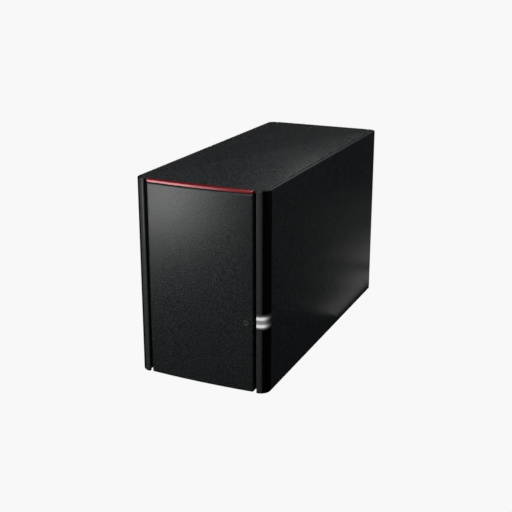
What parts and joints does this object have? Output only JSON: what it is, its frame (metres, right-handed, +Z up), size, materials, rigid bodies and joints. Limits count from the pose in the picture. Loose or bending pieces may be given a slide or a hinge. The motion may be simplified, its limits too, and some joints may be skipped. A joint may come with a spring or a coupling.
{
  "type": "network attached storage",
  "caption": "Desktop network storage with drive trays behind a pull-off front cover, a rear fan, network, USB and power sockets and a lit status window.",
  "frame": {"origin": "middle of the footprint, on the surface that the feet stand on", "axes": "+Z up, front cover faces -Y, +X to the right when looking at the front"},
  "size_m": [0.087, 0.205, 0.127],
  "materials": {
    "case_plastic": "fine spark-eroded grain",
    "cover_plastic": "fine spark-eroded grain",
    "frame_plastic": "matt",
    "accent": "metallic red lacquer",
    "light_window": "frosted, lit",
    "button_plastic": "satin",
    "foot_rubber": "matt",
    "sheet_steel": "zinc plated",
    "cast_alloy": "as cast",
    "screw_steel": "black oxide",
    "circuit_board": "green solder mask",
    "socket_plastic": "moulded",
    "socket_steel": "tin plated",
    "wire_sleeve": "woven sleeve"
  },
  "bodies": {
    "chassis": {"left_side_cover": "case_plastic", "right_side_cover": "case_plastic", "top_cover": "case_plastic", "base_panel": "case_plastic", "rear_panel": "case_plastic", "front_frame": "frame_plastic", "fan_frame": "frame_plastic", "status_window": "light_window", "foot_1": "foot_rubber", "foot_2": "foot_rubber", "foot_3": "foot_rubber", "foot_4": "foot_rubber", "drive_cage": "sheet_steel", "processor_heatsink": "cast_alloy", "cage_screw_left": "screw_steel", "cage_screw_right": "screw_steel", "fan_screw_1": "screw_steel", "fan_screw_2": "screw_steel", "fan_screw_3": "screw_steel", "fan_screw_4": "screw_steel", "rear_screw_1": "screw_steel", "rear_screw_2": "screw_steel", "rear_screw_3": "screw_steel", "rear_screw_4": "screw_steel", "main_board": "circuit_board", "backplane_board": "circuit_board", "status_board": "circuit_board", "left_sata_socket": "socket_plastic", "right_sata_socket": "socket_plastic", "edge_connector": "socket_plastic", "power_jack": "socket_plastic", "power_switch": "socket_plastic", "function_switch": "socket_plastic", "processor": "socket_plastic", "network_jack": "socket_steel", "usb_socket": "socket_steel", "fan_lead": "wire_sleeve"},
    "front_cover": {"front_cover": "cover_plastic", "accent_strip": "accent"},
    "left_tray": {"left_tray": "frame_plastic", "left_drive_body": "cast_alloy", "left_drive_lid": "sheet_steel", "left_drive_board": "circuit_board", "left_drive_screw_1": "screw_steel", "left_drive_screw_2": "screw_steel", "left_drive_screw_3": "screw_steel", "left_drive_screw_4": "screw_steel"},
    "right_tray": {"right_tray": "frame_plastic", "right_drive_body": "cast_alloy", "right_drive_lid": "sheet_steel", "right_drive_board": "circuit_board", "right_drive_screw_1": "screw_steel", "right_drive_screw_2": "screw_steel", "right_drive_screw_3": "screw_steel", "right_drive_screw_4": "screw_steel"},
    "left_latch": {"left_tray_latch": "frame_plastic"},
    "right_latch": {"right_tray_latch": "frame_plastic"},
    "power_button": {"power_button": "button_plastic"},
    "function_button": {"function_button": "button_plastic"},
    "fan_rotor": {"fan_rotor": "frame_plastic"}
  },
  "joints": [
    {"name": "front_cover_slide", "type": "slide", "parent": "chassis", "child": "front_cover", "axis": [0, -1, 0], "range_m": [0, 0.22]},
    {"name": "left_tray_slide", "type": "slide", "parent": "chassis", "child": "left_tray", "axis": [0, -1, 0], "range_m": [0, 0.165]},
    {"name": "right_tray_slide", "type": "slide", "parent": "chassis", "child": "right_tray", "axis": [0, -1, 0], "range_m": [0, 0.165]},
    {"name": "left_latch_pivot", "type": "hinge", "parent": "left_tray", "child": "left_latch", "pos_m": [-0.017, -0.075, 0.1191], "axis": [1, 0, 0], "range_deg": [0, 5], "stiffness_Nm_per_rad": 0.6},
    {"name": "right_latch_pivot", "type": "hinge", "parent": "right_tray", "child": "right_latch", "pos_m": [0.017, -0.075, 0.1191], "axis": [1, 0, 0], "range_deg": [0, 5], "stiffness_Nm_per_rad": 0.6},
    {"name": "power_button_press", "type": "slide", "parent": "chassis", "child": "power_button", "axis": [0, -1, 0], "range_m": [0, 0.001], "stiffness_N_per_m": 800},
    {"name": "function_button_press", "type": "slide", "parent": "chassis", "child": "function_button", "axis": [0, -1, 0], "range_m": [0, 0.001], "stiffness_N_per_m": 800},
    {"name": "fan_spin", "type": "hinge", "parent": "chassis", "child": "fan_rotor", "pos_m": [0, 0.099, 0.084], "axis": [0, 1, 0], "continuous": true}
  ],
  "couplings": [
    {"joint": "left_tray_slide", "follows": "front_cover_slide", "ratio": 0.75},
    {"joint": "right_tray_slide", "follows": "front_cover_slide", "ratio": 0.75}
  ]
}
